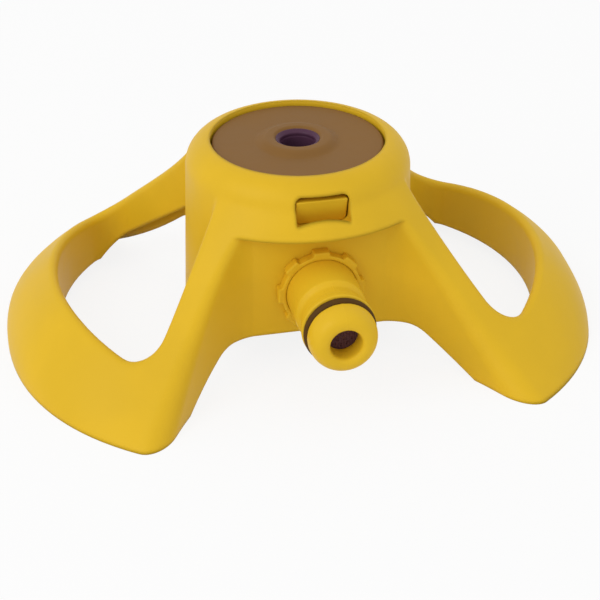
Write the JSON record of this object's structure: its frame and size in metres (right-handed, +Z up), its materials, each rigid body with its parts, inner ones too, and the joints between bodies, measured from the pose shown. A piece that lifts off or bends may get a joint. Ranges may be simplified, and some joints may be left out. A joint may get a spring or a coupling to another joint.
{
  "type": "sprinkler stand",
  "caption": "Low stand for a lawn sprinkler: a moulded butterfly base with open wings, a hose plug at the front and a sprung, turning head socket on top.",
  "frame": {"origin": "on the ground under the turret's axis, at the centre of the base's footprint", "axes": "+X across the wings, +Z up along the turret's axis; the hose plug points along -Y"},
  "size_m": [0.1365, 0.0994, 0.0461],
  "materials": {
    "shell_plastic": "satin moulded plastic, yellow ochre",
    "cap_plastic": "satin black plastic",
    "filter_plastic": "satin dark red plastic",
    "seal_rubber": "matt black rubber",
    "carrier_plastic": "satin moulded plastic, yellow ochre",
    "screw_steel": "stainless, satin",
    "bearing_plastic": "natural acetal, satin",
    "spring_steel": "stainless wire, drawn",
    "stem_brass": "turned",
    "disc_plastic": "satin brown plastic",
    "liner_plastic": "satin dark plum plastic"
  },
  "bodies": {
    "base": {"base_shell": "shell_plastic", "inlet_body": "shell_plastic", "elbow_plug": "cap_plastic", "inlet_filter": "filter_plastic", "inlet_o_ring": "seal_rubber", "inlet_lock_ring": "shell_plastic", "bearing_carrier": "carrier_plastic", "carrier_screws": "screw_steel", "bearing_sleeve": "bearing_plastic", "riser_seal": "seal_rubber", "stem_spring": "spring_steel"},
    "stem_stack": {"spring_seat": "bearing_plastic", "stem_washer_upper": "bearing_plastic", "stem_washer_seal": "seal_rubber", "stem_washer_lower": "bearing_plastic"},
    "swivel": {"swivel_stem": "stem_brass", "swivel_disc": "disc_plastic", "socket_insert": "liner_plastic"},
    "latch_f": {"latch_front": "shell_plastic"},
    "latch_r": {"latch_rear": "shell_plastic"}
  },
  "joints": [
    {"name": "stem_press", "type": "slide", "parent": "base", "child": "stem_stack", "axis": [0, 0, 1], "range_m": [-0.0012, 0], "stiffness_N_per_m": 1500, "springref_m": 0.004, "deforming": ["stem_spring"]},
    {"name": "head_turn", "type": "hinge", "parent": "stem_stack", "child": "swivel", "pos_m": [0, 0, 0], "axis": [0, 0, 1], "continuous": true},
    {"name": "latch_front_press", "type": "hinge", "parent": "base", "child": "latch_f", "pos_m": [0, -0.0183, 0.0314], "axis": [-1, 0, 0], "range_deg": [0, 7], "stiffness_Nm_per_rad": 0.2, "springref_deg": -11.46},
    {"name": "latch_rear_press", "type": "hinge", "parent": "base", "child": "latch_r", "pos_m": [0, 0.0183, 0.0314], "axis": [1, 0, 0], "range_deg": [0, 7], "stiffness_Nm_per_rad": 0.2, "springref_deg": -11.46}
  ]
}
